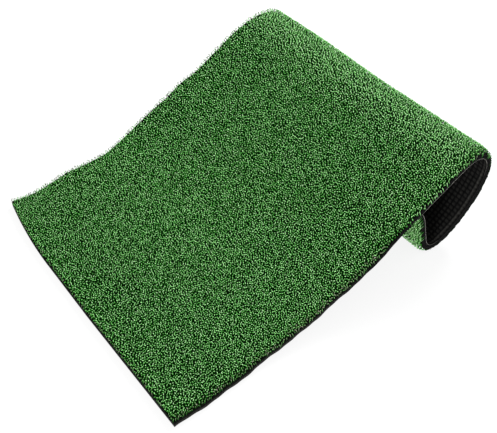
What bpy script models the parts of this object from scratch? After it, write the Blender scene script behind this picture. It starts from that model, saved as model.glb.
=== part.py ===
"""Golf hitting mat: a short strip of artificial turf on a cushion pad, one end curled under.

Run with: blender --background --python part.py
Units are metres and +Z is up. The mat lies along X, with its flat end at -X and its
curled end at +X. The origin is on the floor, under the middle of the mat.

The mat is a laminate. All its layers follow one line, the underside of the backing cloth,
which is the layer that doesn't stretch. The line is described by stretches of mat, each
with a length and the angle it turns through, and each layer is offset square to it.
"""

import math
from dataclasses import dataclass

import bmesh
import bpy
import numpy as np

# The mat as it was cut
MAT_LENGTH = 0.600
MAT_WIDTH = 0.330

# Its layers, from the floor up, and the bond line between two of them
PAD_THICKNESS = 0.0032
COAT_THICKNESS = 0.0006
CLOTH_THICKNESS = 0.0006
PILE_HEIGHT = 0.0048
BOND_LINE = 0.0003

# The pile's trimmed rim, where the outer fibres lean out of the top face
PILE_RIM_DROP = 0.0014
PILE_RIM_WIDTH = 0.0016

# Stretches of the mat from its flat end to its curled end: lengths, and turns in degrees
FLAT_LENGTH = 0.052
LIFT_LENGTH = 0.178
CROWN_LENGTH = 0.060
CROWN_TURN = 137.0
BACK_LENGTH = 0.089
BACK_TURN = 38.5
HEEL_LENGTH = 0.023
HEEL_TURN = 105.0
LIP_LENGTH = 0.010
LIP_TURN = 25.0

# One stretch passes into the next over this length, because a thick mat takes no sharp bend
BEND_BLEND = 0.030

# Left free between the end of the curl and the underside that it leans on
TAIL_CLEARANCE = 0.0005

# Fineness of the worked-out line, of the faceted layers and of their shading
LINE_STEP = 0.0005
STATION_TURN = 4.0
STATION_LENGTH = 0.045
SHARP_EDGE = 30.0

# The two searches that close the curl: the steepest climb that is tried, and how close is enough
STEEPEST_CLIMB = 80.0
SEARCH_TOLERANCE = 1e-9

# Heights of the layers' faces above and below the line
CLOTH_TOP = CLOTH_THICKNESS
PILE_FOOT = CLOTH_TOP + BOND_LINE
PILE_TOP = PILE_FOOT + PILE_HEIGHT
COAT_TOP = -BOND_LINE
COAT_FOOT = COAT_TOP - COAT_THICKNESS
PAD_TOP = COAT_FOOT - BOND_LINE
PAD_FOOT = PAD_TOP - PAD_THICKNESS


@dataclass
class Layer:
    """One layer of the mat: its lower and upper face, its finish and any trimmed rim."""

    name: str
    foot: float
    top: float
    material: str
    colour: tuple
    roughness: float
    rim_drop: float = 0.0
    rim_width: float = 0.0


LAYERS = [
    Layer("cushion_pad", PAD_FOOT, PAD_TOP, "black_rubber_foam", (0.009, 0.009, 0.010), 0.85),
    Layer("tuft_lock_coat", COAT_FOOT, COAT_TOP, "latex_coat", (0.052, 0.052, 0.050), 0.55),
    Layer("primary_backing", 0.0, CLOTH_TOP, "woven_backing", (0.020, 0.021, 0.020), 0.80),
    Layer("turf_pile", PILE_FOOT, PILE_TOP, "turf_fibre", (0.046, 0.135, 0.036), 0.70,
          PILE_RIM_DROP, PILE_RIM_WIDTH),
]


@dataclass
class MatLine:
    """The line that the layers follow: distance along it, place, and direction in radians."""

    along: np.ndarray
    x: np.ndarray
    z: np.ndarray
    angle: np.ndarray

    def offset(self, height):
        """Return the x and z of the line moved square to itself by a height."""
        return self.x - height * np.sin(self.angle), self.z + height * np.cos(self.angle)

    def at(self, places):
        """Return the same line with points at the given distances only."""
        columns = (self.x, self.z, self.angle)
        return MatLine(places, *(np.interp(places, self.along, column) for column in columns))


def clear_scene():
    """Remove every object that the new file starts with."""
    for thing in list(bpy.data.objects):
        bpy.data.objects.remove(thing, do_unlink=True)


def find_zero(miss, low, high):
    """Return the value between low and high at which a rising miss passes zero."""
    while high - low > SEARCH_TOLERANCE:
        middle = 0.5 * (low + high)
        if miss(middle) < 0.0:
            low = middle
        else:
            high = middle
    return 0.5 * (low + high)


def climb_length(tail):
    """Return what is left of the mat's length for its straight climb."""
    return MAT_LENGTH - (FLAT_LENGTH + LIFT_LENGTH + CROWN_LENGTH + BACK_LENGTH
                         + HEEL_LENGTH + tail + LIP_LENGTH)


def draw_line(climb_turn, tail):
    """Work out the line for a climb angle in degrees and a tail length."""
    stretches = [
        (FLAT_LENGTH, 0.0),
        (LIFT_LENGTH, climb_turn),
        (climb_length(tail), 0.0),
        (CROWN_LENGTH, -CROWN_TURN),
        (BACK_LENGTH, -BACK_TURN),
        (HEEL_LENGTH, -HEEL_TURN),
        (tail, 0.0),
        (LIP_LENGTH, LIP_TURN),
    ]
    lengths, turns = np.array(stretches).T
    ends = np.concatenate([[0.0], np.cumsum(lengths)])
    angles = np.radians(np.concatenate([[0.0], np.cumsum(turns)]))
    along, step = np.linspace(0.0, MAT_LENGTH, math.ceil(MAT_LENGTH / LINE_STEP) + 1, retstep=True)
    samples = math.ceil(BEND_BLEND / LINE_STEP)
    reach = ((np.arange(samples) + 0.5) / samples - 0.5) * BEND_BLEND
    angle = np.interp(along[:, None] + reach[None, :], ends, angles).mean(axis=1)
    middle = 0.5 * (angle[1:] + angle[:-1])
    x = np.concatenate([[0.0], np.cumsum(np.cos(middle) * step)])
    z = np.concatenate([[0.0], np.cumsum(np.sin(middle) * step)]) - PAD_FOOT
    return MatLine(along, x, z, angle)


def curl_height(line):
    """Return how high the lowest pile tips of the curl stand above the floor."""
    tips = line.offset(PILE_TOP)[1]
    return tips[line.angle < 0.0].min()


def resting_line(tail):
    """Return the line whose climb angle lets the curl rest on the floor."""
    angle = find_zero(lambda turn: curl_height(draw_line(turn, tail)), 0.0, STEEPEST_CLIMB)
    return draw_line(angle, tail)


def tail_overlap(tail):
    """Return how far the tail's end stands past its clearance under the climbing mat."""
    line = resting_line(tail)
    under_x, under_z = line.offset(PAD_FOOT)
    crown = np.argmax(line.angle < -0.5 * math.pi)
    ends = [line.offset(height) for height in (PAD_FOOT, PILE_TOP)]
    gaps = [np.interp(x[-1], under_x[:crown], under_z[:crown]) - z[-1] for x, z in ends]
    return TAIL_CLEARANCE - min(gaps)


def closed_line():
    """Return the line of the mat with its tail leaning on its own underside."""
    return resting_line(find_zero(tail_overlap, 0.0, climb_length(0.0)))


def place_stations(line):
    """Choose the distances at which the layers get a ring of points."""
    steady = FLAT_LENGTH - 0.5 * BEND_BLEND
    trimmed = MAT_LENGTH - PILE_RIM_WIDTH
    turned = np.concatenate([[0.0], np.cumsum(np.abs(np.diff(line.angle)))])
    straight = np.maximum(line.along - steady, 0.0)
    pace = turned / math.radians(STATION_TURN) + straight / STATION_LENGTH
    places = np.linspace(0.0, pace[-1], math.ceil(pace[-1]) + 1)
    bends = np.interp(places, pace, line.along)
    bends = bends[(bends > steady + PILE_RIM_WIDTH) & (bends < trimmed - PILE_RIM_WIDTH)]
    return np.concatenate([[0.0, PILE_RIM_WIDTH, steady], bends, [trimmed, MAT_LENGTH]])


def make_material(layer):
    """Return a Principled material of the layer's colour."""
    material = bpy.data.materials.new(layer.material)
    material.use_nodes = True
    shader = material.node_tree.nodes["Principled BSDF"]
    shader.inputs["Base Color"].default_value = (*layer.colour, 1.0)
    shader.inputs["Roughness"].default_value = layer.roughness
    shader.inputs["Metallic"].default_value = 0.0
    return material


def cross_section(layer):
    """Return the layer's outline across the mat, as pairs of y and height."""
    half = 0.5 * MAT_WIDTH
    if layer.rim_drop == 0.0:
        return [(-half, layer.foot), (half, layer.foot), (half, layer.top), (-half, layer.top)]
    rim = layer.top - layer.rim_drop
    inner = half - layer.rim_width
    return [(-half, layer.foot), (half, layer.foot), (half, rim),
            (inner, layer.top), (-inner, layer.top), (-half, rim)]


def sweep_layer(layer, line, middle):
    """Make one layer by carrying its cross-section along the line.

    With a rim, the top edges fall away towards the sides and the two ends of the mat.
    """
    section = cross_section(layer)
    mesh = bmesh.new()
    rings = []
    last = len(line.along) - 1
    for index, (x, z, angle) in enumerate(zip(line.x, line.z, line.angle)):
        ceiling = layer.top - layer.rim_drop if index in (0, last) else layer.top
        ring = []
        for y, height in section:
            height = min(height, ceiling)
            place = (x - middle - height * math.sin(angle), y, z + height * math.cos(angle))
            ring.append(mesh.verts.new(place))
        rings.append(ring)
    for ring, following in zip(rings, rings[1:]):
        for corner in range(len(section)):
            beside = (corner + 1) % len(section)
            mesh.faces.new((ring[corner], ring[beside], following[beside], following[corner]))
    mesh.faces.new(rings[0][::-1])
    mesh.faces.new(rings[-1])
    bmesh.ops.recalc_face_normals(mesh, faces=mesh.faces)
    data = bpy.data.meshes.new(layer.name)
    mesh.to_mesh(data)
    mesh.free()
    data.materials.append(make_material(layer))
    data.shade_smooth()
    data.set_sharp_from_angle(angle=math.radians(SHARP_EDGE))
    return bpy.data.objects.new(layer.name, data)


def build_mat():
    """Make the layers of the mat under one empty."""
    line = closed_line()
    line = line.at(place_stations(line))
    outline = np.concatenate([line.offset(height)[0] for height in (PAD_FOOT, PILE_TOP)])
    middle = 0.5 * (outline.min() + outline.max())
    mat = bpy.data.objects.new("hitting_mat", None)
    bpy.context.scene.collection.objects.link(mat)
    for layer in LAYERS:
        solid = sweep_layer(layer, line, middle)
        bpy.context.scene.collection.objects.link(solid)
        solid.parent = mat


clear_scene()
build_mat()
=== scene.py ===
"""Golf hitting mat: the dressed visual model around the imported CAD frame.

The mat is a strip of curly artificial turf, tufted through a woven cloth that a latex coat
bonds to a black cushion pad. Its flat end lies at -X and its other end is curled under at +X.
All layers follow one line, the underside of the cloth, which is worked out here from the same
sizes as in the part's source. Units are metres and +Z is up.
"""

import logging
import math
from dataclasses import dataclass, field
from enum import Enum
from typing import Callable

import bpy
import numpy as np
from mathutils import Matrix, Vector
from mathutils.kdtree import KDTree


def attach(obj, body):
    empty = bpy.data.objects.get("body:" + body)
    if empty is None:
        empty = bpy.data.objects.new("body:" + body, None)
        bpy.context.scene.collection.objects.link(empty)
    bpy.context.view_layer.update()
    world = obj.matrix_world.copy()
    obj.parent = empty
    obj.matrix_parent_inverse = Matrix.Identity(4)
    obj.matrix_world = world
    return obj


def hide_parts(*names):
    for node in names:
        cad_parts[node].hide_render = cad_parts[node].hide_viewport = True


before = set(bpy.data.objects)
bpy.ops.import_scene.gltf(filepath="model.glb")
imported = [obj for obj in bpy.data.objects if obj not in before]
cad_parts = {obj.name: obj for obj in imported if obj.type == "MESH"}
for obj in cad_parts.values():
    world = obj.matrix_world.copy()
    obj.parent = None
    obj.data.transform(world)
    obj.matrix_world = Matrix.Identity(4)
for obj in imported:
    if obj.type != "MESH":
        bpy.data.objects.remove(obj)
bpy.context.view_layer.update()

LOG = logging.getLogger("hitting_mat")

# Every piece rides on the one rigid body of the row
BODY = "root"

# Names that meshes and materials share
SHADE_MAP = "OFBake"
CUT_MAP = "cut_plan"
# Edge marks: painted light and highlights on the pad's cut edges, painted shade on the thatch's rim
WEAR_AND_SHADING = "edge_wear_and_shading"

Colour = tuple[float, float, float]
Place = tuple[float, float, float]
Bulge = tuple[float, float, float]
Miss = Callable[[float], float]
Value = bpy.types.NodeSocket | float
Tint = bpy.types.NodeSocket | Colour


class Rim(Enum):
    """The four rims of the mat: its two sides and its two ends."""

    NEAR_SIDE = "near_side"
    FAR_SIDE = "far_side"
    FLAT_END = "flat_end"
    CURLED_END = "curled_end"


class Grain(Enum):
    """Named scales of unevenness, in cycles per metre."""

    TUFT = 600.0
    CELL = 1500.0
    SKIN = 3000.0
    MOTTLE = 260.0
    BREAK = 420.0


# The line that the layers follow


@dataclass
class MatLine:
    """The line that the layers follow: distance along it, place, and direction in radians."""

    along: np.ndarray
    x: np.ndarray
    z: np.ndarray
    angle: np.ndarray

    def offset(self, height: float) -> tuple[np.ndarray, np.ndarray]:
        """Return the x and z of the line moved square to itself by a height."""
        return self.x - height * np.sin(self.angle), self.z + height * np.cos(self.angle)

    def bend(self, along: np.ndarray, across: np.ndarray, height: np.ndarray) -> np.ndarray:
        """Carry points of the flat mat to their place on the curled mat.

        Args:
            along: Distances along the mat, which may pass its ends a little.
            across: Distances from the middle of its width.
            height: Heights above the line.

        Returns:
            The points, with x, y and z in the last axis.
        """
        inside = np.clip(along, self.along[0], self.along[-1])
        past = along - inside
        angle = np.interp(inside, self.along, self.angle)
        x = np.interp(inside, self.along, self.x) + past * np.cos(angle) - height * np.sin(angle)
        z = np.interp(inside, self.along, self.z) + past * np.sin(angle) + height * np.cos(angle)
        return np.stack([x, np.broadcast_to(across, x.shape), z], axis=-1)


@dataclass
class MatShape:
    """Sizes of the cut mat, of its layers and of its curl, as in the part's source."""

    # The mat as it was cut, its layers and the bond line between two of them
    length: float = 0.600
    width: float = 0.330
    pad: float = 0.0032
    coat: float = 0.0006
    cloth: float = 0.0006
    pile: float = 0.0048
    bond: float = 0.0003

    # Stretches of the mat from its flat end to its curled end: lengths, and turns in degrees
    flat: float = 0.052
    lift: float = 0.178
    crown: float = 0.060
    crown_turn: float = 137.0
    back: float = 0.089
    back_turn: float = 38.5
    heel: float = 0.023
    heel_turn: float = 105.0
    lip: float = 0.010
    lip_turn: float = 25.0

    # The length over which stretches pass into each other, and what the tail's end leaves free
    blend: float = 0.030
    tail_clearance: float = 0.0005

    # How finely the line is worked out, and how its two searches are held
    step: float = 0.0005
    steepest_climb: float = 80.0
    tolerance: float = 1e-9

    def __post_init__(self) -> None:
        """Work out the heights of the layers' faces above and below the line."""
        self.half_width = 0.5 * self.width
        self.pile_foot = self.cloth + self.bond
        self.pile_top = self.pile_foot + self.pile
        self.coat_top = -self.bond
        self.coat_foot = self.coat_top - self.coat
        self.pad_top = self.coat_foot - self.bond
        self.pad_foot = self.pad_top - self.pad

    def find_zero(self, miss: Miss, low: float, high: float) -> float:
        """Find where a rising miss passes zero.

        Args:
            miss: The function that is tried.
            low: A value at which it is below zero.
            high: A value at which it is above zero.

        Returns:
            The value between them at which it passes zero.
        """
        while high - low > self.tolerance:
            middle = 0.5 * (low + high)
            if miss(middle) < 0.0:
                low = middle
            else:
                high = middle
        return 0.5 * (low + high)

    def climb(self, tail: float) -> float:
        """Return what is left of the mat's length for its straight climb."""
        curl = self.crown + self.back + self.heel + tail + self.lip
        return self.length - self.flat - self.lift - curl

    def draw(self, climb_turn: float, tail: float) -> MatLine:
        """Work out the line of the mat.

        Args:
            climb_turn: The climb angle, in degrees.
            tail: The length of the straight tail.

        Returns:
            The line, with its flat end at x = 0.
        """
        stretches = [
            (self.flat, 0.0),
            (self.lift, climb_turn),
            (self.climb(tail), 0.0),
            (self.crown, -self.crown_turn),
            (self.back, -self.back_turn),
            (self.heel, -self.heel_turn),
            (tail, 0.0),
            (self.lip, self.lip_turn),
        ]
        lengths, turns = np.array(stretches).T
        ends = np.concatenate([[0.0], np.cumsum(lengths)])
        angles = np.radians(np.concatenate([[0.0], np.cumsum(turns)]))
        count = math.ceil(self.length / self.step) + 1
        along, step = np.linspace(0.0, self.length, count, retstep=True)
        samples = math.ceil(self.blend / self.step)
        reach = ((np.arange(samples) + 0.5) / samples - 0.5) * self.blend
        angle = np.interp(along[:, None] + reach[None, :], ends, angles).mean(axis=1)
        middle = 0.5 * (angle[1:] + angle[:-1])
        x = np.concatenate([[0.0], np.cumsum(np.cos(middle) * step)])
        z = np.concatenate([[0.0], np.cumsum(np.sin(middle) * step)]) - self.pad_foot
        return MatLine(along, x, z, angle)

    def curl_height(self, line: MatLine) -> float:
        """Return how high the lowest pile tips of the curl stand above the floor."""
        return line.offset(self.pile_top)[1][line.angle < 0.0].min()

    def resting(self, tail: float) -> MatLine:
        """Return the line whose climb angle lets the curl rest on the floor."""
        turn = self.find_zero(lambda t: self.curl_height(self.draw(t, tail)), 0.0, self.steepest_climb)
        return self.draw(turn, tail)

    def tail_overlap(self, tail: float) -> float:
        """Measure how far the tail's end stands past its clearance.

        Args:
            tail: The length of the straight tail.

        Returns:
            The overlap with the underside of the climbing mat, below zero where it is clear.
        """
        line = self.resting(tail)
        under_x, under_z = line.offset(self.pad_foot)
        crown = np.argmax(line.angle < -0.5 * math.pi)
        ends = [line.offset(height) for height in (self.pad_foot, self.pile_top)]
        gaps = [np.interp(x[-1], under_x[:crown], under_z[:crown]) - z[-1] for x, z in ends]
        return self.tail_clearance - min(gaps)

    def line(self) -> MatLine:
        """Close the curl.

        Returns:
            The line of the curled mat, centred on the row frame's origin.
        """
        line = self.resting(self.find_zero(self.tail_overlap, 0.0, self.climb(0.0)))
        spread = np.concatenate([line.offset(h)[0] for h in (self.pad_foot, self.pile_top)])
        line.x = line.x - 0.5 * (spread.min() + spread.max())
        return line


@dataclass
class CutLine:
    """How the hand-cut rims stray from the straight: bulges, a skewed corner and a fine wave."""

    half_width: float

    # The far side: how far in it strays, and its bulges by place along the mat, height and width
    far_reach: float = 0.040
    far_bulges: tuple[Bulge, ...] = (
        (0.030, -0.0036, 0.024),
        (0.080, 0.0034, 0.018),
        (0.132, -0.0036, 0.022),
        (0.205, 0.0046, 0.032),
        (0.250, 0.0032, 0.014),
        (0.335, 0.0028, 0.030),
        (0.080, -0.0020, 0.055),
        (0.270, 0.0016, 0.060),
        (0.388, -0.0040, 0.022),
    )

    # The skewed far corner, and the push of the rest of the flat end
    corner_pull: float = 0.0105
    corner_width: float = 0.105
    corner_reach: float = 0.060
    corner_power: float = 1.8
    end_push: float = 0.0012
    end_reach: float = 0.030
    end_span: tuple[float, float] = (-0.020, 0.060)

    # The near side: its bulges, and a wave that fades out before the crown, by height and length
    near_reach: float = 0.030
    near_bulges: tuple[Bulge, ...] = (
        (0.030, 0.0017, 0.042),
        (0.108, -0.0010, 0.022),
        (0.235, 0.0020, 0.032),
        (0.470, 0.0030, 0.050),
    )
    near_end: float = 0.290
    near_fade: float = 0.080
    near_waves: tuple[tuple[float, float], ...] = ((0.0004, 0.043), (0.0002, 0.017))

    def warp(self, along: np.ndarray, across: np.ndarray) -> tuple[np.ndarray, np.ndarray]:
        """Move points of the straight mat to where its cut rims put them.

        Args:
            along: Distances along the mat.
            across: Distances from the middle of its width.

        Returns:
            Both again, changed near the far side, the near side and the skewed corner.
        """
        bulge = self.swell(along, self.far_bulges)
        wave = sum(high * np.sin(2.0 * math.pi * along / long) for high, long in self.near_waves)
        wave = wave * np.clip((self.near_end - along) / self.near_fade, 0.0, 1.0)
        wave = wave - self.swell(along, self.near_bulges)
        far = np.clip(1.0 - (self.half_width - across) / self.far_reach, 0.0, None)
        near = np.clip(1.0 - (self.half_width + across) / self.near_reach, 0.0, None)
        corner = np.clip(1.0 - (self.half_width - across) / self.corner_width, 0.0, None)
        start = np.clip(1.0 - along / self.corner_reach, 0.0, None)
        pull = self.corner_pull * corner ** self.corner_power * start ** 2
        low, high = self.end_span
        ahead = np.clip(1.0 - along / self.end_reach, 0.0, 1.0) ** 2
        push = self.end_push * ahead * np.clip((high - across) / (high - low), 0.0, 1.0)
        return along + pull - push, across + bulge * far ** 2 + wave * near ** 2

    @staticmethod
    def swell(along: np.ndarray, bulges: tuple[Bulge, ...]) -> np.ndarray:
        """Return how far bulges, each with its place, height and width, push a rim out."""
        return sum(high * np.exp(-((along - place) / wide) ** 2) for place, high, wide in bulges)


@dataclass
class CurledMat:
    """The mat as it lies: its line, the line of its cut, and a crown that is fuller at its far end."""

    shape: MatShape
    line: MatLine
    cut: CutLine

    # The fuller end: its height, its place and width along the mat, and the span where it grows
    full_height: float = 0.0050
    full_place: float = 0.418
    full_width: float = 0.026
    full_span: tuple[float, float] = (-0.030, 0.100)

    def bend(self, along: np.ndarray, across: np.ndarray, height: np.ndarray) -> np.ndarray:
        """Return the places on the curled mat of points given along, across and above it."""
        return self.line.bend(*self.cut.warp(along, across), height + self.fullness(along, across))

    def fullness(self, along: np.ndarray, across: np.ndarray) -> np.ndarray:
        """Work out how far the far end of the crown stands out past the line.

        Args:
            along: Distances along the mat.
            across: Distances from the middle of its width.

        Returns:
            The height to add at each point.
        """
        low, high = self.full_span
        share = np.clip((across - low) / (high - low), 0.0, 1.0)
        crown = np.exp(-((along - self.full_place) / self.full_width) ** 2)
        return self.full_height * crown * share**2 * (3.0 - 2.0 * share)


# Meshes


@dataclass
class MeshPlan:
    """Points and faces of a mesh while it is put together."""

    points: list[np.ndarray] = field(default_factory=list)
    loops: list[np.ndarray] = field(default_factory=list)
    sizes: list[np.ndarray] = field(default_factory=list)
    count: int = 0

    def add_points(self, points: np.ndarray) -> np.ndarray:
        """Add points.

        Args:
            points: Any array whose last axis holds x, y and z.

        Returns:
            Their indices, in the shape of the array without its last axis.
        """
        flat = points.reshape(-1, 3)
        indices = np.arange(self.count, self.count + len(flat)).reshape(points.shape[:-1])
        self.points.append(flat)
        self.count += len(flat)
        return indices

    def add_faces(self, faces: np.ndarray) -> None:
        """Add faces of one size, given as rows of point indices."""
        self.loops.append(faces.reshape(-1))
        self.sizes.append(np.full(len(faces), faces.shape[1]))

    def add_grid(self, grid: np.ndarray, turned: bool = False) -> None:
        """Fill a two-way grid of point indices with four-sided faces.

        Args:
            grid: Point indices in rows and columns.
            turned: Whether the faces look the other way.
        """
        quads = np.stack([grid[:-1, :-1], grid[1:, :-1], grid[1:, 1:], grid[:-1, 1:]], axis=-1)
        quads = quads.reshape(-1, 4)
        self.add_faces(quads[:, ::-1] if turned else quads)

    def finish(self, name: str, material: bpy.types.Material, crease: float = 0.0) -> bpy.types.Object:
        """Make the object.

        Args:
            name: The piece's name.
            material: Its finish.
            crease: The angle in degrees past which an edge is sharp, or 0 for none.

        Returns:
            The new object, linked to the scene and smooth shaded.
        """
        points = np.concatenate(self.points).astype(np.float32)
        loops = np.concatenate(self.loops).astype(np.int32)
        sizes = np.concatenate(self.sizes)
        starts = np.concatenate([[0], np.cumsum(sizes)[:-1]]).astype(np.int32)
        mesh = bpy.data.meshes.new(name)
        mesh.vertices.add(len(points))
        mesh.vertices.foreach_set("co", points.ravel())
        mesh.loops.add(len(loops))
        mesh.loops.foreach_set("vertex_index", loops)
        mesh.polygons.add(len(starts))
        mesh.polygons.foreach_set("loop_start", starts)
        mesh.update(calc_edges=True)
        mesh.validate()
        mesh.materials.append(material)
        mesh.shade_smooth()
        if crease:
            mesh.set_sharp_from_angle(angle=math.radians(crease))
        piece = bpy.data.objects.new(name, mesh)
        bpy.context.scene.collection.objects.link(piece)
        return piece


def add_point_values(piece: bpy.types.Object, name: str, values: np.ndarray) -> None:
    """Store one number for each point of a piece, for its finish to read."""
    attribute = piece.data.attributes.new(name, "FLOAT", "POINT")
    attribute.data.foreach_set("value", values.astype(np.float32).ravel())


def add_map(piece: bpy.types.Object, name: str, places: np.ndarray) -> None:
    """Store a flat map on a piece.

    Args:
        piece: The piece.
        name: The map's name.
        places: Two numbers for each point of the piece.
    """
    mesh = piece.data
    corners = np.empty(len(mesh.loops), np.int32)
    mesh.loops.foreach_get("vertex_index", corners)
    layer = mesh.uv_layers.new(name=name)
    layer.data.foreach_set("uv", places.astype(np.float32)[corners].ravel())


@dataclass
class Slab:
    """A closed layer: a face with relief, a plain face and the cut walls between them."""

    mat: CurledMat

    # The face with relief by rows and columns, and the height of the plain face
    along: np.ndarray
    across: np.ndarray
    relief: np.ndarray
    plain: float

    # Heights of the rings in the side walls, and how far in those rings stray
    levels: tuple[float, ...] = ()
    ragged: float = 0.0

    # Columns of relief to one strip of the plain face, and the angle of a sharp edge in degrees
    stride: int = 12
    crease: float = 50.0

    # What is put together, and where its points lie on the flat mat
    plan: MeshPlan = field(default_factory=MeshPlan)
    flat: list[np.ndarray] = field(default_factory=list)

    def sweep(self, along: np.ndarray, across: np.ndarray, height: np.ndarray) -> np.ndarray:
        """Add points to the plan.

        Args:
            along: Distances along the mat.
            across: Distances from its middle.
            height: Heights above the line.

        Returns:
            The points' indices, in the shape that the three have together.
        """
        along, across, height = np.broadcast_arrays(along, across, height)
        self.flat.append(np.stack([across, along], axis=-1).reshape(-1, 2))
        return self.plan.add_points(self.mat.bend(along, across, height))

    def build(self, rng: np.random.Generator) -> tuple[np.ndarray, np.ndarray]:
        """Fill the plan.

        Args:
            rng: The source of the uneven cut.

        Returns:
            Indices of the face with relief in rows and columns, and of the near wall by ring.
        """
        raised = self.plain < self.relief.min()
        last = len(self.across) - 1
        few = np.unique(np.append(np.arange(0, last, self.stride), last))
        rows = self.along[:, None]
        face = self.sweep(rows, self.across[None, :], self.relief)
        back = self.sweep(rows, self.across[None, few], np.array(self.plain))
        self.plan.add_grid(face, turned=not raised)
        self.plan.add_grid(back, turned=raised)
        walls = []
        for side in (0, -1):
            edge = self.across[side]
            rings = [face[:, side]]
            for level in self.levels:
                cut = edge - np.sign(edge) * self.ragged * rng.random(len(self.along))
                rings.append(self.sweep(self.along, cut, np.array(level)))
            rings.append(back[:, side])
            walls.append(np.array(rings))
            self.plan.add_grid(walls[-1], turned=(side == 0) != raised)
        for end in (0, -1):
            self.close_end(end, face, back, few, walls, turned=(end == 0) != raised)
        return face, walls[0]

    def close_end(self, end: int, face: np.ndarray, back: np.ndarray, few: np.ndarray,
                  walls: list[np.ndarray], turned: bool) -> None:
        """Close one end of the layer, strip by strip.

        Args:
            end: The first row or the last.
            face: Indices of the face with relief.
            back: Indices of the plain face.
            few: The columns that the plain face has.
            walls: Indices of the two side walls.
            turned: Whether the faces look the other way.
        """
        for strip, (first, last) in enumerate(zip(few, few[1:])):
            loop = [*face[end, first:last + 1]]
            if last == few[-1]:
                loop.extend(walls[1][1:-1, end])
            loop.extend(back[end, [strip + 1, strip]])
            if first == few[0]:
                loop.extend(walls[0][-2:0:-1, end])
            self.plan.add_faces(np.array([loop[::-1] if turned else loop]))

    def finish(self, name: str, material: bpy.types.Material) -> bpy.types.Object:
        """Make the layer's object with its sharp cut edges."""
        return self.plan.finish(name, material, self.crease)


# Node groups that several finishes share


class Nodes:
    """A node tree with short ways to add and wire its nodes."""

    # Of the Mix node's sockets, those that carry colours
    MIX_COLOURS = (6, 7)
    MIX_RESULT = 2

    def __init__(self, tree: bpy.types.NodeTree) -> None:
        """Keep the tree that is filled."""
        self.tree = tree

    def add(self, kind: str, **settings: object) -> bpy.types.Node:
        """Add a node.

        Args:
            kind: The node's type.
            **settings: Its properties, and the values of its input sockets by name.

        Returns:
            The new node.
        """
        node = self.tree.nodes.new(kind)
        for name, value in settings.items():
            if hasattr(node, name):
                setattr(node, name, value)
            else:
                node.inputs[name.replace("_", " ")].default_value = value
        return node

    def wire(self, source: bpy.types.NodeSocket, target: bpy.types.NodeSocket) -> None:
        """Lead one socket into another."""
        self.tree.links.new(source, target)

    def reckon(self, operation: str, *values: Value) -> bpy.types.NodeSocket:
        """Reckon with one, two or three values.

        Args:
            operation: The Math node's operation.
            *values: Sockets or numbers.

        Returns:
            The socket of the result.
        """
        node = self.add("ShaderNodeMath", operation=operation)
        for socket, value in zip(node.inputs, values):
            if isinstance(value, bpy.types.NodeSocket):
                self.wire(value, socket)
            else:
                socket.default_value = value
        return node.outputs[0]

    def ramp(self, value: bpy.types.NodeSocket, stops: list[tuple[float, Colour]]) -> bpy.types.NodeSocket:
        """Colour a value.

        Args:
            value: The socket that is read.
            stops: Places from 0 to 1, each with its colour.

        Returns:
            The colour socket.
        """
        node = self.add("ShaderNodeValToRGB")
        elements = node.color_ramp.elements
        while len(elements) < len(stops):
            elements.new(0.5)
        for element, (place, colour) in zip(elements, stops):
            element.position = place
            element.color = (*colour, 1.0)
        self.wire(value, node.inputs["Fac"])
        return node.outputs["Color"]

    def mix(self, share: bpy.types.NodeSocket, *colours: Tint) -> bpy.types.NodeSocket:
        """Mix two colours.

        Args:
            share: The socket that gives the second colour's share.
            *colours: The two colours, or sockets that give them.

        Returns:
            The colour socket.
        """
        node = self.add("ShaderNodeMix", data_type="RGBA")
        self.wire(share, node.inputs[0])
        for index, value in zip(self.MIX_COLOURS, colours):
            if isinstance(value, bpy.types.NodeSocket):
                self.wire(value, node.inputs[index])
            else:
                node.inputs[index].default_value = (*value, 1.0)
        return node.outputs[self.MIX_RESULT]


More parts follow.
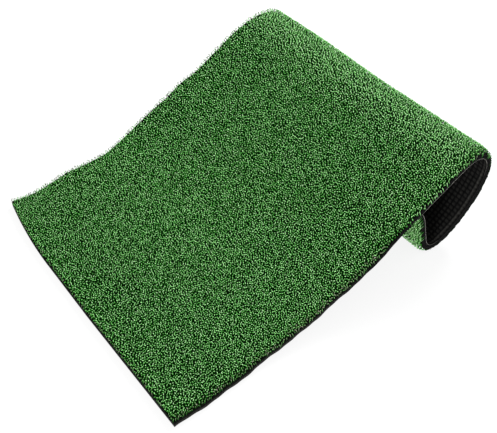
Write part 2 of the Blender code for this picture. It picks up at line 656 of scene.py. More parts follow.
class SharedEffects:
    """Node groups for the grain of the layers, and for the wear, painted light and painted shade of their
    cut edges.
    """

    # How fine the noise of each gets
    MOTTLE_DETAIL = 4.0
    MOTTLE_ROUGHNESS = 0.6
    BREAK_DETAIL = 3.0

    def __init__(self) -> None:
        """Build both groups once."""
        self.grain = self.build_grain()
        self.wear_and_shading = self.build_wear_and_shading()

    @staticmethod
    def new_group(name: str, inputs: list[tuple[str, float]], outputs: list[str]) -> bpy.types.NodeTree:
        """Make an empty group.

        Args:
            name: The group's name.
            inputs: Names of its inputs, each with its usual value.
            outputs: Names of its outputs.

        Returns:
            The group.
        """
        group = bpy.data.node_groups.new(name, "ShaderNodeTree")
        for title, value in inputs:
            socket = group.interface.new_socket(title, in_out="INPUT", socket_type="NodeSocketFloat")
            socket.default_value = value
        for title in outputs:
            group.interface.new_socket(title, in_out="OUTPUT", socket_type="NodeSocketFloat")
        return group

    def build_grain(self) -> bpy.types.NodeTree:
        """Build the grain: fine cells and wider mottling, in the piece's own metres.

        Returns:
            The group, which puts out the mottling's mask and the relief of both.
        """
        inputs = [("Cell Scale", Grain.CELL.value), ("Mottle Scale", Grain.MOTTLE.value)]
        group = self.new_group("layer_grain", inputs, ["Mask", "Height"])
        nodes = Nodes(group)
        given = nodes.add("NodeGroupInput")
        place = nodes.add("ShaderNodeTexCoord").outputs["Object"]
        cells = nodes.add("ShaderNodeTexVoronoi", feature="SMOOTH_F1")
        mottle = nodes.add("ShaderNodeTexNoise", Detail=self.MOTTLE_DETAIL, Roughness=self.MOTTLE_ROUGHNESS)
        for texture, scale in ((cells, "Cell Scale"), (mottle, "Mottle Scale")):
            nodes.wire(place, texture.inputs["Vector"])
            nodes.wire(given.outputs[scale], texture.inputs["Scale"])
        height = nodes.reckon("ADD", cells.outputs["Distance"], mottle.outputs["Fac"])
        taken = nodes.add("NodeGroupOutput")
        nodes.wire(mottle.outputs["Fac"], taken.inputs["Mask"])
        nodes.wire(height, taken.inputs["Height"])
        return group

    def build_wear_and_shading(self) -> bpy.types.NodeTree:
        """Build the edge marks of wear, painted light and painted shade: a broken line along the edges that
        carry their value.

        Returns:
            The group, which puts out the line's mask.
        """
        inputs = [("Break Scale", Grain.BREAK.value), ("Amount", 1.0)]
        group = self.new_group("cut_edge_wear_and_shading", inputs, ["Mask"])
        nodes = Nodes(group)
        given = nodes.add("NodeGroupInput")
        place = nodes.add("ShaderNodeTexCoord").outputs["Object"]
        breaks = nodes.add("ShaderNodeTexNoise", Detail=self.BREAK_DETAIL)
        nodes.wire(place, breaks.inputs["Vector"])
        nodes.wire(given.outputs["Break Scale"], breaks.inputs["Scale"])
        line = nodes.add("ShaderNodeAttribute", attribute_name=WEAR_AND_SHADING).outputs["Fac"]
        ragged = nodes.reckon("MULTIPLY", line, breaks.outputs["Fac"])
        mask = nodes.reckon("MULTIPLY", ragged, given.outputs["Amount"])
        nodes.wire(mask, nodes.add("NodeGroupOutput").inputs["Mask"])
        return group


# Finishes


@dataclass(frozen=True)
class Finish:
    """A finish: its name, how rough it is and how much it mirrors."""

    name: str
    roughness: float
    gloss: float

    def start(self) -> tuple[bpy.types.Material, Nodes, bpy.types.Node]:
        """Make the material.

        Returns:
            The material, its nodes and its shader.
        """
        material = bpy.data.materials.new(self.name)
        material.use_nodes = True
        nodes = Nodes(material.node_tree)
        shader = material.node_tree.nodes["Principled BSDF"]
        shader.inputs["Roughness"].default_value = self.roughness
        shader.inputs["Specular IOR Level"].default_value = self.gloss
        return material, nodes, shader

    @staticmethod
    def add_bump(nodes: Nodes, shader: bpy.types.Node, height: bpy.types.NodeSocket,
                 strength: float, depth: float) -> None:
        """Give a finish fine relief.

        Args:
            nodes: The material's nodes.
            shader: Its shader.
            height: The socket of the relief.
            strength: How strong it is, from 0 to 1.
            depth: How deep it is, in metres.
        """
        bump = nodes.add("ShaderNodeBump", Strength=strength, Distance=depth)
        nodes.wire(height, bump.inputs["Height"])
        nodes.wire(bump.outputs["Normal"], shader.inputs["Normal"])


@dataclass(frozen=True)
class LayerFinish(Finish):
    """A dull dark layer: two shades of one grain, and a third along its cut edges, which is painted light
    on the pad and painted shade on the thatch.
    """

    dark: Colour
    light: Colour
    worn_and_shaded: Colour
    wear_and_shading: float
    relief: float
    cell_scale: float = Grain.CELL.value

    # Where on the grain's mask the two shades end and start, how far the roughness strays, and
    # how strong the relief is
    DARK_UP_TO = 0.3
    LIGHT_FROM = 0.7
    ROUGH_SPREAD = 0.08
    RELIEF_STRENGTH = 0.6

    def material(self, effects: SharedEffects) -> bpy.types.Material:
        """Build the material.

        Args:
            effects: The shared node groups.

        Returns:
            The finished material.
        """
        material, nodes, shader = self.start()
        grain = nodes.add("ShaderNodeGroup", node_tree=effects.grain)
        grain.inputs["Cell Scale"].default_value = self.cell_scale
        wear_and_shading = nodes.add("ShaderNodeGroup", node_tree=effects.wear_and_shading)
        wear_and_shading.inputs["Amount"].default_value = self.wear_and_shading
        shades = [(self.DARK_UP_TO, self.dark), (self.LIGHT_FROM, self.light)]
        body = nodes.ramp(grain.outputs["Mask"], shades)
        colour = nodes.mix(wear_and_shading.outputs["Mask"], body, self.worn_and_shaded)
        nodes.wire(colour, shader.inputs["Base Color"])
        rough = nodes.add("ShaderNodeMapRange", To_Min=self.roughness - self.ROUGH_SPREAD,
                          To_Max=self.roughness + self.ROUGH_SPREAD)
        nodes.wire(grain.outputs["Mask"], rough.inputs["Value"])
        nodes.wire(rough.outputs["Result"], shader.inputs["Roughness"])
        self.add_bump(nodes, shader, grain.outputs["Height"], self.RELIEF_STRENGTH, self.relief)
        return material


@dataclass(frozen=True)
class WeaveFinish(Finish):
    """Woven tape cloth: warp and weft tapes of two shades, read off the cut plan."""

    dark: Colour
    light: Colour
    tape: float

    # Where on the weave's wave the two shades end and start, and how strong its relief is
    DARK_UP_TO = 0.1
    LIGHT_FROM = 0.9
    RELIEF_STRENGTH = 0.8

    def material(self, effects: SharedEffects) -> bpy.types.Material:
        """Build the material.

        Args:
            effects: The shared node groups.

        Returns:
            The finished material.
        """
        material, nodes, shader = self.start()
        plan = nodes.add("ShaderNodeUVMap", uv_map=CUT_MAP).outputs["UV"]
        split = nodes.add("ShaderNodeSeparateXYZ")
        nodes.wire(plan, split.inputs[0])
        waves = []
        for axis in ("X", "Y"):
            turns = nodes.reckon("MULTIPLY", split.outputs[axis], math.pi / self.tape)
            waves.append(nodes.reckon("SINE", turns))
        checks = nodes.reckon("MULTIPLY", *waves)
        lift = nodes.reckon("MULTIPLY_ADD", checks, 0.5, 0.5)
        grain = nodes.add("ShaderNodeGroup", node_tree=effects.grain)
        woven = nodes.ramp(lift, [(self.DARK_UP_TO, self.dark), (self.LIGHT_FROM, self.light)])
        colour = nodes.mix(grain.outputs["Mask"], self.dark, woven)
        nodes.wire(colour, shader.inputs["Base Color"])
        self.add_bump(nodes, shader, lift, self.RELIEF_STRENGTH, 0.5 * self.tape)
        return material


@dataclass(frozen=True)
class FibreFinish(Finish):
    """Turf fibre: yarns of several shades, darkened towards the root as painted shade and at their own
    shade at the tip.
    """

    shades: tuple[Colour, ...]
    depths: tuple[tuple[float, Colour], ...]

    def material(self) -> bpy.types.Material:
        """Build the material, which reads each fibre's shade and height off its map.

        Returns:
            The finished material.
        """
        material, nodes, shader = self.start()
        split = nodes.add("ShaderNodeSeparateXYZ")
        shade_map = nodes.add("ShaderNodeUVMap", uv_map=SHADE_MAP)
        nodes.wire(shade_map.outputs["UV"], split.inputs[0])
        steps = len(self.shades) - 1
        yarn = nodes.ramp(split.outputs["X"], [(i / steps, shade) for i, shade in enumerate(self.shades)])
        depth = nodes.ramp(split.outputs["Y"], list(self.depths))
        tinted = nodes.add("ShaderNodeVectorMath", operation="MULTIPLY")
        nodes.wire(yarn, tinted.inputs[0])
        nodes.wire(depth, tinted.inputs[1])
        nodes.wire(tinted.outputs[0], shader.inputs["Base Color"])
        return material


# The rubber's pale edge colour is painted light: on the near cut wall, and as highlights along the lower
# rim, the line inside it and the stud tops
RUBBER = LayerFinish(
    name="black_rubber_foam",
    roughness=0.78,
    gloss=0.03,
    dark=(0.0016, 0.0016, 0.0018),
    light=(0.0050, 0.0050, 0.0054),
    worn_and_shaded=(0.720, 0.710, 0.640),
    wear_and_shading=1.6,
    relief=0.0002,
)
LATEX = LayerFinish(
    name="latex_coat",
    roughness=0.65,
    gloss=0.04,
    dark=(0.003, 0.003, 0.003),
    light=(0.007, 0.007, 0.0065),
    worn_and_shaded=(0.026, 0.026, 0.022),
    wear_and_shading=0.6,
    relief=0.0001,
    cell_scale=Grain.SKIN.value,
)
# The thatch's darker edge colour is painted shade along its cut rims
THATCH = LayerFinish(
    name="turf_thatch",
    roughness=0.85,
    gloss=0.05,
    dark=(0.0005, 0.012, 0.0005),
    light=(0.002, 0.030, 0.0015),
    worn_and_shaded=(0.0010, 0.0020, 0.0010),
    wear_and_shading=3.0,
    relief=0.0006,
    cell_scale=Grain.TUFT.value,
)
WEAVE = WeaveFinish(
    name="woven_backing",
    roughness=0.8,
    gloss=0.04,
    dark=(0.005, 0.0052, 0.0045),
    light=(0.014, 0.0145, 0.0125),
    tape=0.0012,
)

# The first two shades, near black and grey, are for rim fibres and darken them as painted shade; the rest
# run from the darkest yarn to the palest, differ at random, and the palest stand partly for a painted sheen
# on the tips
FIBRE = FibreFinish(
    name="turf_fibre",
    roughness=0.5,
    gloss=0.06,
    shades=(
        (0.006, 0.015, 0.004),
        (0.350, 0.370, 0.270),
        (0.160, 0.390, 0.113),
        (0.360, 0.810, 0.275),
        (0.480, 0.990, 0.388),
        (0.555, 1.000, 0.458),
        (0.630, 1.000, 0.530),
    ),
    # Darker down towards the root: painted shade within the pile
    depths=(
        (0.12, (0.001, 0.006, 0.001)),
        (0.45, (0.005, 0.068, 0.0025)),
        (0.73, (0.090, 0.440, 0.057)),
        (0.90, (1.0, 1.0, 1.0)),
    ),
)


# Layers of the mat


@dataclass
class Layer:
    """What all layers share: the mat that they belong to, and the way a piece is fixed to the frame."""

    mat: CurledMat

    @staticmethod
    def hand_in(piece: bpy.types.Object, slot: str, *nodes: str) -> bpy.types.Object:
        """Fix a piece to the frame.

        Args:
            piece: The finished piece.
            slot: Not used.
            *nodes: The CAD nodes that it stands for.

        Returns:
            The same piece.
        """
        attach(piece, BODY)
        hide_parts(*nodes)
        LOG.info("%s: %d faces, for %s", piece.name, len(piece.data.polygons), ", ".join(nodes))
        return piece


@dataclass
class CushionPad(Layer):
    """The foamed rubber pad, with a moulded lattice of grip studs on its underside."""

    studs_along: int = 126
    studs_across: int = 69
    stud_height: float = 0.0008
    stud_painted_highlight: float = 0.030
    rim_line: float = 0.00032
    wall_levels: int = 3
    ragged: float = 0.00020
    seed: int = 11

    # A stud's profile over one pitch: a groove and a flat top
    STUD = (0.0, 1.0, 1.0)

    # Columns of the underside: those between the two rim lines, and two that a faint painted highlight
    # follows
    BETWEEN_RIMS = slice(2, -2)
    INNER_LINES = (3, -4)

    # Painted light on the cut wall, and painted highlights along the lower rim and the line inside it, by
    # distance along the mat
    WALL_PAINTED_LIGHT = ((0.170, 0.045), (0.230, 0.0))
    RIM_PAINTED_HIGHLIGHT = ((0.290, 0.0), (0.320, 1.0), (0.405, 1.0), (0.430, 0.05), (0.515, 0.05), (0.540, 1.0))
    INNER_PAINTED_HIGHLIGHT = ((0.405, 0.0), (0.430, 0.06), (0.515, 0.06), (0.540, 0.0))

    def build(self, effects: SharedEffects) -> bpy.types.Object:
        """Build and dress the pad.

        Args:
            effects: The shared node groups.

        Returns:
            The pad.
        """
        shape = self.mat.shape
        half = shape.half_width
        along = np.linspace(0.0, shape.length, len(self.STUD) * self.studs_along + 1)
        across = np.linspace(-half, half, len(self.STUD) * self.studs_across + 1)
        studs = np.resize(self.STUD, len(along))[:, None] * np.resize(self.STUD, len(across))[None, :]
        studs[[0, -1], :] = 1.0
        studs[:, [0, -1]] = 1.0
        across = np.insert(across, [1, len(across) - 1], [self.rim_line - half, half - self.rim_line])
        studs = np.insert(studs, [1, studs.shape[1] - 1], 1.0, axis=1)
        foot = shape.pad_foot + self.stud_height * (1.0 - studs)
        rings = np.linspace(shape.pad_foot, shape.pad_top, self.wall_levels + 1)[1:-1]
        levels = (shape.pad_foot + self.rim_line, *rings)
        slab = Slab(self.mat, along, across, foot, shape.pad_top, levels, self.ragged)
        face, wall = slab.build(np.random.default_rng(self.seed))
        piece = slab.finish("foam_cushion_pad", RUBBER.material(effects))
        # Painted light on the near wall, and painted highlights on the stud tops, the lower rim and the
        # line inside it
        wear_and_shading = np.zeros(slab.plan.count)
        wear_and_shading[wall] = np.interp(along, *zip(*self.WALL_PAINTED_LIGHT))
        wear_and_shading[face[:, self.BETWEEN_RIMS]] = self.stud_painted_highlight * studs[:, self.BETWEEN_RIMS]
        wear_and_shading[face[:, [0, -1]]] = np.interp(along, *zip(*self.RIM_PAINTED_HIGHLIGHT))[:, None]
        wear_and_shading[face[:, self.INNER_LINES]] += np.interp(along, *zip(*self.INNER_PAINTED_HIGHLIGHT))[:, None]
        add_point_values(piece, WEAR_AND_SHADING, wear_and_shading)
        return self.hand_in(piece, "rubber_foam", "cushion_pad")


@dataclass
class ThinLayer(Layer):
    """A thin layer between pad and pile, with uneven cut edges that stand back a little."""

    rows: int = 400
    columns: int = 24
    inset: float = 0.00012
    ragged: float = 0.00015
    seed: int = 23

    def slab(self, foot: float, top: float) -> tuple[Slab, np.ndarray]:
        """Build the layer.

        Args:
            foot: Height of its lower face.
            top: Height of its upper face.

        Returns:
            The layer, and the indices of its near wall by ring.
        """
        shape = self.mat.shape
        half = shape.half_width - self.inset
        along = np.linspace(self.inset, shape.length - self.inset, self.rows + 1)
        across = np.linspace(-half, half, self.columns + 1)
        under = np.full((len(along), len(across)), foot)
        slab = Slab(self.mat, along, across, under, top, (0.5 * (foot + top),), self.ragged)
        _, wall = slab.build(np.random.default_rng(self.seed))
        return slab, wall


@dataclass
class LockCoat(ThinLayer):
    """The latex coat that locks the tufts, a thin film with slightly beaded cut edges."""

    def build(self, effects: SharedEffects) -> bpy.types.Object:
        """Build and dress the coat.

        Args:
            effects: The shared node groups.

        Returns:
            The coat.
        """
        slab, wall = self.slab(self.mat.shape.coat_foot, self.mat.shape.coat_top)
        piece = slab.finish("latex_lock_coat", LATEX.material(effects))
        wear_and_shading = np.zeros(slab.plan.count)
        wear_and_shading[wall[1]] = 1.0
        add_point_values(piece, WEAR_AND_SHADING, wear_and_shading)
        return self.hand_in(piece, "latex_coat", "tuft_lock_coat")


@dataclass
class BackingCloth(ThinLayer):
    """The woven cloth that the fibres are tufted through, with its tape ends at the cut edges."""

    seed: int = 31

    def build(self, effects: SharedEffects) -> bpy.types.Object:
        """Build and dress the cloth.

        Args:
            effects: The shared node groups.

        Returns:
            The cloth.
        """
        slab, _ = self.slab(0.0, self.mat.shape.cloth)
        piece = slab.finish("woven_backing_cloth", WEAVE.material(effects))
        add_map(piece, CUT_MAP, np.concatenate(slab.flat))
        return self.hand_in(piece, "backing_cloth", "primary_backing")


@dataclass
class Thatch(Layer):
    """The dark matted roots of the pile, with a black rim wall along the cut that is painted shade for the
    pile's shaded cut side.
    """

    step: float = 0.0024
    inset: float = 0.0003
    height: float = 0.0009
    swell: float = 0.0008
    rim_width: float = 0.0010
    rim_height: float = 0.0022
    rim_swell: float = 0.0005
    seed: int = 47

    # How high the black rim of painted shade stands, by distance along the mat
    SHADE_RIM_SHARE = (
        (0.180, 0.3),
        (0.290, 0.0),
        (0.412, 0.0),
        (0.430, 2.0),
        (0.445, 2.8),
        (0.510, 2.8),
        (0.530, 0.0),
    )

    # Rows and columns inside the pressed rim
    INSIDE = slice(2, -2)

    def spread(self, low: float, high: float) -> np.ndarray:
        """Return evenly spread places between two rims, with a narrow step beside each rim."""
        inner = np.linspace(low + self.rim_width, high - self.rim_width, round((high - low) / self.step))
        return np.concatenate([[low], inner, [high]])

    def build(self, effects: SharedEffects) -> bpy.types.Object:
        """Build and dress the thatch.

        Args:
            effects: The shared node groups.

        Returns:
            The thatch.
        """
        shape = self.mat.shape
        rng = np.random.default_rng(self.seed)
        half = shape.half_width - self.inset
        along = self.spread(self.inset, shape.length - self.inset)
        across = self.spread(-half, half)
        uneven = rng.random((len(along), len(across))) - 0.5
        top = self.height + self.swell * uneven
        rim = np.zeros_like(top, dtype=bool)
        rim[[0, -1], :] = True
        rim[:, [0, -1]] = True
        share = np.interp(along, *zip(*self.SHADE_RIM_SHARE))[:, None]
        tall = top + share * (self.rim_height - self.height + self.rim_swell * uneven)
        top[rim] = tall[rim]
        slab = Slab(self.mat, along, across, shape.pile_foot + top, shape.pile_foot)
        face, _ = slab.build(rng)
        piece = slab.finish("turf_thatch", THATCH.material(effects))
        # Painted shade: the rim rows take the darker edge colour
        wear_and_shading = np.ones(slab.plan.count)
        wear_and_shading[face[self.INSIDE, self.INSIDE]] = 0.0
        add_point_values(piece, WEAR_AND_SHADING, wear_and_shading)
        return self.hand_in(piece, "turf_fibre", "turf_pile")


@dataclass
class TurfPile(Layer):
    """The curly pile: short arched fibres of several shades, built in bands along the mat."""

    bands: int = 8
    seed: int = 48

    # Where fibres stand, and how much more room they have towards the far side and the curled end
    spacing: float = 0.00163
    tries: int = 9
    opened_across: float = 0.26
    opened_along: float = 0.20

    # How they curl, and their three-sided section
    curl_length: float = 0.00165
    length_spread: tuple[float, float] = (0.45, 1.2)
    most_turn: float = 1.3
    height_spread: tuple[float, float] = (0.86, 1.04)
    fibre_width: float = 0.00073
    width_spread: tuple[float, float] = (0.8, 1.15)
    fibre_depth: float = 0.00052
    most_roll: float = 0.5

    # The clean cut rims, and the fringe of the far side that leans out in clumps
    trim_width: float = 0.0030
    trim_drop: float = 0.25
    far_lean: float = 0.0013
    lean_start: float = 1.5
    edge_clump: float = 0.0045
    clump_swing: float = 1.3
    clump_inset: float = 0.5
    clump_stray: float = 0.2
    overhang: dict[Rim, float] = field(default_factory=lambda: {
        Rim.NEAR_SIDE: 0.0001,
        Rim.FAR_SIDE: 0.0018,
        Rim.FLAT_END: 0.0001,
        Rim.CURLED_END: 0.0001,
    })

    # Their shades; the darker shades of the rims at the flat end and the far side, as painted shade; and
    # the painted light on roots beside the rims
    neighbours: int = 6
    shade_rounds: int = 3
    shade_push: float = 0.8
    darkest: float = 0.333
    root_light: float = 0.75
    end_reach: float = 0.0036
    end_light: float = 0.7
    end_shade: float = 0.30
    far_reach: float = 0.0030
    far_shade: float = 0.20

    # How the outermost fibres of the near rim droop over its wall
    droop_width: float = 0.0016
    droop_start: float = 1.5
    droop_lean: float = 0.0006
    droop_depth: float = 0.0034

    # Where on their map the fibres lie
    map_margin: float = 0.02
    map_width: float = 0.012

    # A fibre's rings from root to tip: share of its height, place along its curl, and thickness
    RISE = (0.0, 0.66, 1.0, 0.98, 0.66)
    REACH = (-0.55, -0.45, -0.15, 0.25, 0.5)
    TAPER = (0.6, 0.95, 1.0, 1.0, 0.6)
    CORNERS = 3

    # Where a ring's corners lie across their fibre's strip of the map
    STRIP = (-0.5, 0.5, 0.0)

    # How much painted light falls on the roots where the bends over the crown and the heel open the pile,
    # by distance along it
    OPENED = ((0.340, 0.0), (0.368, 0.45), (0.384, 0.45), (0.398, 0.0), (0.525, 0.0), (0.545, 0.5))

    # The near rim, by distance along the mat: how far in its fibres differ, the shares of their shade and
    # height that they keep, a lower shade share being painted shade, how much painted light falls on their
    # root, and how far they droop
    NEAR_RIM = (
        (0.000, 0.0050, 0.26, 1.00, 0.4, 0.0),
        (0.080, 0.0055, 0.30, 1.00, 0.6, 0.1),
        (0.110, 0.0065, 0.38, 1.00, 1.0, 0.5),
        (0.245, 0.0065, 0.38, 1.00, 1.0, 0.4),
        (0.270, 0.0050, 0.55, 1.00, 0.3, 0.0),
        (0.295, 0.0040, 1.00, 1.00, 1.0, 1.0),
        (0.330, 0.0040, 1.00, 1.00, 1.0, 1.0),
        (0.350, 0.0060, 0.75, 1.00, 1.0, 1.0),
        (0.380, 0.0080, 0.50, 0.90, 1.0, 1.0),
        (0.400, 0.0090, 0.45, 0.65, 1.0, 1.0),
        (0.415, 0.0090, 0.40, 0.60, 0.8, 0.8),
        (0.430, 0.0090, 0.10, 0.80, 0.0, 0.0),
        (0.445, 0.0070, 0.10, 0.95, 0.0, 0.0),
        (0.510, 0.0070, 0.10, 0.95, 0.0, 0.0),
        (0.525, 0.0070, 0.20, 0.60, 0.0, 0.0),
        (0.540, 0.0040, 0.80, 0.60, 0.8, 0.8),
        (0.560, 0.0040, 1.00, 1.00, 1.0, 1.0),
    )

    def openness(self, along: np.ndarray, across: np.ndarray) -> np.ndarray:
        """Work out how much the pile opens up, from 1 at the near corner of its flat end.

        Args:
            along: Distances along the mat.
            across: Distances from its middle.

        Returns:
            The factor on the fibres' spacing at each place.
        """
        shape = self.mat.shape
        wide = self.opened_across * (across / shape.width + 0.5)
        return 1.0 + wide + self.opened_along * along / shape.length

    def scatter(self, rng: np.random.Generator) -> np.ndarray:
        """Choose where fibres stand, in no order but never closer than their spacing.

        Args:
            rng: The source of their scatter.

        Returns:
            Their distances along the mat and from its middle, by fibre.
        """
        shape = self.mat.shape
        count = round(self.tries * shape.length * shape.width / self.spacing**2)
        spots = rng.random((count, 2)) * np.array([shape.length, shape.width])
        spots[:, 1] -= shape.half_width
        cells = np.floor(spots / self.spacing).astype(int)
        least = (self.spacing * self.openness(spots[:, 0], spots[:, 1])) ** 2
        reach = math.ceil(1.0 + self.opened_across + self.opened_along)
        steps = range(-reach, reach + 1)
        near = [(i, j) for i in steps for j in steps]
        taken: dict[tuple[int, int], list[list[float]]] = {}
        kept = []
        for index, (spot, cell, gap) in enumerate(zip(spots.tolist(), cells.tolist(), least.tolist())):
            row, column = cell
            others = [other for i, j in near for other in taken.get((row + i, column + j), ())]
            if all((x - spot[0])**2 + (y - spot[1])**2 >= gap for x, y in others):
                taken.setdefault((row, column), []).append(spot)
                kept.append(index)
        return spots[kept]

    def curl(self, rng: np.random.Generator) -> np.ndarray:
        """Draw the fibres' middle lines, from root to tip, over the flat mat.

        Args:
            rng: The source of their differences.

        Returns:
            Distances along and across the mat and heights above the pile's foot, by fibre and ring.
        """
        shape = self.mat.shape
        spots = self.scatter(rng)
        count = len(spots)
        facing = rng.uniform(0.0, 2.0 * math.pi, (count, 1))
        turn = rng.uniform(-self.most_turn, self.most_turn, (count, 1))
        opened = self.openness(spots[:, :1], spots[:, 1:])
        length = self.curl_length * opened * rng.uniform(*self.length_spread, (count, 1))
        heading = facing + 0.5 * turn * np.array(self.REACH)
        step = length * np.array(self.REACH)
        flat = spots[:, None, :] + np.stack([step * np.cos(heading), step * np.sin(heading)], axis=-1)
        tall = shape.pile * rng.uniform(*self.height_spread, (count, 1))
        height = tall * np.array(self.RISE) * self.trimmed(flat)
        beside = np.clip((flat[:, :1, 1] - shape.half_width) / self.far_lean + self.lean_start, 0.0, 1.0)
        flat[:, :, 1] += self.far_lean * beside * rng.random((count, 1)) * np.array(self.RISE)
        return np.concatenate([flat, height[:, :, None]], axis=2)

    def trimmed(self, flat: np.ndarray) -> np.ndarray:
        """Work out how much lower the pile is beside its clean cut rims.

        Args:
            flat: Places over the flat mat, with the distances along and across in the last axis.

        Returns:
            The share of its height that it has at each place.
        """
        near = flat[..., 1] + self.mat.shape.half_width
        ends = np.minimum(flat[..., 0], self.mat.shape.length - flat[..., 0])
        inside = np.clip(np.minimum(near, ends) / self.trim_width, 0.0, 1.0)
        return 1.0 - self.trim_drop * (1.0 - inside) ** 2

    def shade(self, spots: np.ndarray, rng: np.random.Generator) -> np.ndarray:
        """Choose the fibres' shades, so that neighbours seldom share one.

        Args:
            spots: Where the fibres stand.
            rng: The source of their differences.

        Returns:
            Their shades, evenly spread from 0 to 1.
        """
        count = len(spots)
        tree = KDTree(count)
        for index, (along, across) in enumerate(spots.tolist()):
            tree.insert((along, across, 0.0), index)
        tree.balance()
        near = [[found[1] for found in tree.find_n((along, across, 0.0), self.neighbours + 1)[1:]]
                for along, across in spots.tolist()]
        shade = rng.random(count)
        for _ in range(self.shade_rounds):
            apart = shade - self.shade_push * shade[np.array(near)].mean(axis=1)
            shade = np.argsort(np.argsort(apart)) / (count - 1)
        return shade

    def beside_rims(self, spots: np.ndarray) -> tuple[np.ndarray, np.ndarray, np.ndarray, np.ndarray]:
        """Read how fibres differ beside the rims, most of all beside the near one, in painted shade and
        painted light.

        Args:
            spots: Where the fibres stand.

        Returns:
            The shares of shade and height that each fibre keeps, a lower shade share being painted shade,
            how much painted light falls on its root, and how far it droops.
        """
        half = self.mat.shape.half_width
        stops = np.array(self.NEAR_RIM).T
        reach, shade, tall, lit, droop = (np.interp(spots[:, 0], stops[0], row) for row in stops[1:])
        inward = spots[:, 1] + half
        beside = np.clip(1.0 - inward / reach, 0.0, 1.0)
        near = np.sqrt(beside)
        first = np.clip(1.0 - spots[:, 0] / self.end_reach, 0.0, 1.0)
        far = np.clip(1.0 - (half - spots[:, 1]) / self.far_reach, 0.0, 1.0)
        other = 1.0 - np.maximum((1.0 - self.end_shade) * first, (1.0 - self.far_shade) * far)
        shade = np.minimum(1.0 - (1.0 - shade) * near, other)
        lit = np.maximum(lit * beside, self.end_light * first)
        droop = droop * beside * np.clip(self.droop_start - inward / self.droop_width, 0.0, 1.0)
        return shade, 1.0 - (1.0 - tall) * near, lit, droop

    def trim(self, along: np.ndarray, across: np.ndarray,
             rng: np.random.Generator) -> tuple[np.ndarray, np.ndarray]:
        """Trim the fibres at the mat's rims.

        Args:
            along: Distances along the mat, by fibre.
            across: Distances from its middle, by fibre.
            rng: The source of the uneven trim.

        Returns:
            Both again, held inside the rims and their overhang.
        """
        half = self.mat.shape.half_width
        uneven = rng.random((len(along), 1, 1))
        clumps = rng.random(math.ceil(self.mat.shape.length / self.edge_clump) + 1)
        clump = np.interp(along / self.edge_clump, np.arange(len(clumps)), clumps)
        low = -half - self.overhang[Rim.NEAR_SIDE] * uneven
        fringe = self.clump_swing * clump - self.clump_inset + self.clump_stray * uneven
        high = half + self.overhang[Rim.FAR_SIDE] * fringe
        first = -self.overhang[Rim.FLAT_END] * uneven
        last = self.mat.shape.length + self.overhang[Rim.CURLED_END] * uneven
        return np.clip(along, first, last), np.clip(across, low, high)

    def thicken(self, middle: np.ndarray, rng: np.random.Generator) -> np.ndarray:
        """Give the fibres their three-sided section.

        Args:
            middle: The fibres' middle lines, by fibre and ring.
            rng: The source of their differences.

        Returns:
            Points over the flat mat, by fibre, ring and corner.
        """
        count = len(middle)
        ahead = np.gradient(middle, axis=1)
        ahead /= np.linalg.norm(ahead, axis=-1, keepdims=True)
        sideways = np.stack([-ahead[..., 1], ahead[..., 0], np.zeros_like(ahead[..., 0])], axis=-1)
        sideways /= np.linalg.norm(sideways, axis=-1, keepdims=True)
        over = np.cross(ahead, sideways)
        roll = rng.uniform(-self.most_roll, self.most_roll, (count, 1, 1))
        flat = np.cos(roll) * sideways + np.sin(roll) * over
        deep = np.cos(roll) * over - np.sin(roll) * sideways
        taper = np.array(self.TAPER)[None, :, None]
        opened = self.openness(middle[:, :1, :1], middle[:, :1, 1:2])
        spread = rng.uniform(*self.width_spread, (count, 1, 1))
        half = 0.5 * self.fibre_width * np.sqrt(opened) * spread * taper
        corners = [middle - half * flat, middle + half * flat, middle + self.fibre_depth * taper * deep]
        return np.stack(corners, axis=2)

    def build(self) -> list[bpy.types.Object]:
        """Build and dress the fibres, in bands along the mat.

        Returns:
            The bands, from the flat end to the curled end.
        """
        shape = self.mat.shape
        rng = np.random.default_rng(self.seed)
        middle = self.curl(rng)
        solid = self.thicken(middle, rng)
        spots = middle[:, 0, :2]
        keep, tall, lit, droop = self.beside_rims(spots)
        along, across = self.trim(solid[..., 0], solid[..., 1], rng)
        height = np.maximum(solid[..., 2], 0.0) * tall[:, None, None]
        droop = droop[:, None, None]
        across = across - droop * self.droop_lean
        fall = self.droop_depth * droop * (1.0 - height / height.max())
        points = self.mat.bend(along, across, shape.pile_foot + height - fall)
        points[..., 2] = np.maximum(points[..., 2], 0.0)
        shade = self.shade(spots, rng)
        # Painted shade: fibres beside the rims take darker shades
        shade = keep * (self.darkest + (1.0 - self.darkest) * shade)
        # The height share picks the painted shade of the depth ramp; painted light on the roots raises it
        reach = np.clip(height / height.max(), 0.0, 1.0)
        lit = np.maximum(self.root_light * lit, np.interp(spots[:, 0], *zip(*self.OPENED)))
        reach = reach + (1.0 - reach) * lit[:, None, None]
        material = FIBRE.material()
        edges = np.linspace(0.0, shape.length, self.bands + 1)[1:-1]
        band = np.searchsorted(edges, middle[:, 0, 0])
        pieces = []
        for index in range(self.bands):
            mine = band == index
            name = f"turf_band_{index + 1}"
            pieces.append(self.build_band(name, points[mine], shade[mine], reach[mine], material))
        return pieces

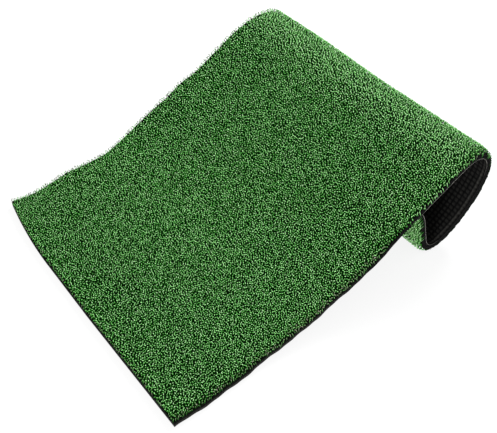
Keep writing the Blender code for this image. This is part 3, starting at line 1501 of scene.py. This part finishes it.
    def build_band(self, name: str, points: np.ndarray, shade: np.ndarray, reach: np.ndarray,
                   material: bpy.types.Material) -> bpy.types.Object:
        """Build one band of fibres.

        Args:
            name: The piece's name.
            points: The fibres' points, by fibre, ring and corner.
            shade: The fibres' shades, from 0 to 1.
            reach: The points' shares of the pile's height, raised by painted light on the roots.
            material: The fibres' finish.

        Returns:
            The band.
        """
        plan = MeshPlan()
        indices = plan.add_points(points)
        for corner in range(self.CORNERS):
            beside = (corner + 1) % self.CORNERS
            quads = np.stack([indices[:, :-1, corner], indices[:, :-1, beside],
                              indices[:, 1:, beside], indices[:, 1:, corner]], axis=-1)
            plan.add_faces(quads.reshape(-1, 4))
        plan.add_faces(indices[:, 0, ::-1])
        plan.add_faces(indices[:, -1, :])
        piece = plan.finish(name, material)
        room = 1.0 - 2.0 * self.map_margin
        spread = self.map_width * np.array(self.STRIP)
        sideways = self.map_margin + room * shade[:, None, None] + spread
        upward = self.map_margin + room * reach
        places = np.stack(np.broadcast_arrays(sideways, upward), axis=-1)
        add_map(piece, SHADE_MAP, places.reshape(-1, 2))
        return self.hand_in(piece, "turf_fibre", "turf_pile")


# Stage, light and camera


@dataclass
class Studio:
    """A plain pale floor, soft studio light and the camera of the photograph."""

    # The floor: its size, how far it lies under the mat, and its shade to light and to the eye
    floor_half: float = 3.0
    floor_drop: float = 0.0002
    floor_bounce: Colour = (0.85, 0.85, 0.85)
    floor_seen: Colour = (0.20, 0.20, 0.20)
    floor_glow: float = 0.86

    # The sky and the two lamps
    sky: float = 0.60
    key_place: Place = (0.95, 0.30, 0.85)
    key_size: float = 0.6
    key_power: float = 17.0
    fill_place: Place = (-1.2, -0.6, 0.12)
    fill_size: float = 0.4
    fill_power: float = 12.0

    # The camera, with its pitch and yaw in degrees, as fitted to the photograph
    camera_place: Place = (-0.34316, -0.45227, 0.58626)
    camera_pitch: float = 46.078
    camera_yaw: float = 51.600
    lens: float = 54.457
    sensor: float = 36.0

    @staticmethod
    def seen(nodes: Nodes) -> bpy.types.NodeSocket:
        """Find the rays that see the background: camera, glossy and transmission rays.

        Args:
            nodes: The nodes of a material or a sky.

        Returns:
            The socket of the mask.
        """
        path = nodes.add("ShaderNodeLightPath")
        seen = nodes.reckon("MAXIMUM", path.outputs["Is Camera Ray"], path.outputs["Is Glossy Ray"])
        return nodes.reckon("MAXIMUM", seen, path.outputs["Is Transmission Ray"])

    def floor_material(self) -> bpy.types.Material:
        """Build the floor's finish, white to the eye and with the mat's shadow kept.

        Returns:
            The finished material.
        """
        material = bpy.data.materials.new("studio_floor")
        material.use_nodes = True
        tree = material.node_tree
        tree.nodes.remove(tree.nodes["Principled BSDF"])
        nodes = Nodes(tree)
        bounce = nodes.add("ShaderNodeBsdfDiffuse", Color=(*self.floor_bounce, 1.0))
        paper = nodes.add("ShaderNodeBsdfDiffuse", Color=(*self.floor_seen, 1.0))
        glow = nodes.add("ShaderNodeEmission", Strength=self.floor_glow)
        both = nodes.add("ShaderNodeAddShader")
        nodes.wire(paper.outputs[0], both.inputs[0])
        nodes.wire(glow.outputs[0], both.inputs[1])
        mix = nodes.add("ShaderNodeMixShader")
        nodes.wire(self.seen(nodes), mix.inputs[0])
        nodes.wire(bounce.outputs[0], mix.inputs[1])
        nodes.wire(both.outputs[0], mix.inputs[2])
        nodes.wire(mix.outputs[0], tree.nodes["Material Output"].inputs["Surface"])
        return material

    def build_floor(self) -> None:
        """Lay the floor."""
        half = self.floor_half
        plan = MeshPlan()
        corners = [(-half, -half), (half, -half), (half, half), (-half, half)]
        square = plan.add_points(np.array([[x, y, -self.floor_drop] for x, y in corners]))
        plan.add_faces(square[None, :])
        plan.finish("studio_floor", self.floor_material())

    def build_light(self) -> None:
        """Hang two soft lamps, over the mat and before it, under a plain white sky."""
        world = bpy.data.worlds.new("studio_sky")
        bpy.context.scene.world = world
        world.use_nodes = True
        nodes = Nodes(world.node_tree)
        background = world.node_tree.nodes["Background"]
        background.inputs["Color"].default_value = (1.0, 1.0, 1.0, 1.0)
        strength = nodes.add("ShaderNodeMapRange", To_Min=self.sky, To_Max=1.0)
        nodes.wire(self.seen(nodes), strength.inputs["Value"])
        nodes.wire(strength.outputs["Result"], background.inputs["Strength"])
        self.hang_lamp("key_softbox", self.key_place, self.key_size, self.key_power)
        self.hang_lamp("fill_softbox", self.fill_place, self.fill_size, self.fill_power)

    @staticmethod
    def hang_lamp(name: str, place: Place, size: float, power: float) -> None:
        """Hang a square soft lamp that looks at the mat.

        Args:
            name: The lamp's name.
            place: Where it hangs.
            size: Length of its sides.
            power: Its power, in watts.
        """
        lamp = bpy.data.lights.new(name, "AREA")
        lamp.shape = "SQUARE"
        lamp.size = size
        lamp.energy = power
        holder = bpy.data.objects.new(name, lamp)
        holder.location = place
        holder.rotation_euler = (-Vector(place)).to_track_quat("-Z", "Y").to_euler()
        bpy.context.scene.collection.objects.link(holder)

    def build_camera(self) -> None:
        """Set the camera where the photograph was taken from."""
        data = bpy.data.cameras.new("photo_camera")
        data.sensor_fit = "HORIZONTAL"
        data.sensor_width = self.sensor
        data.lens = self.lens
        camera = bpy.data.objects.new("photo_camera", data)
        camera.location = self.camera_place
        tilt = math.radians(90.0 - self.camera_pitch)
        camera.rotation_euler = (tilt, 0.0, math.radians(self.camera_yaw - 90.0))
        bpy.context.scene.collection.objects.link(camera)
        bpy.context.scene.camera = camera

    def build(self) -> None:
        """Build the whole studio."""
        bpy.context.scene.view_settings.view_transform = "Standard"
        self.build_floor()
        self.build_light()
        self.build_camera()


def main() -> None:
    """Build the studio and the mat's layers in order."""
    logging.basicConfig(level=logging.INFO, format="%(name)s: %(message)s")
    Studio().build()
    effects = SharedEffects()
    shape = MatShape()
    mat = CurledMat(shape, shape.line(), CutLine(shape.half_width))
    CushionPad(mat).build(effects)
    coat = LockCoat(mat).build(effects)
    cloth = BackingCloth(mat).build(effects)
    pile = [Thatch(mat).build(effects), *TurfPile(mat).build()]


if __name__ == "__main__":
    main()
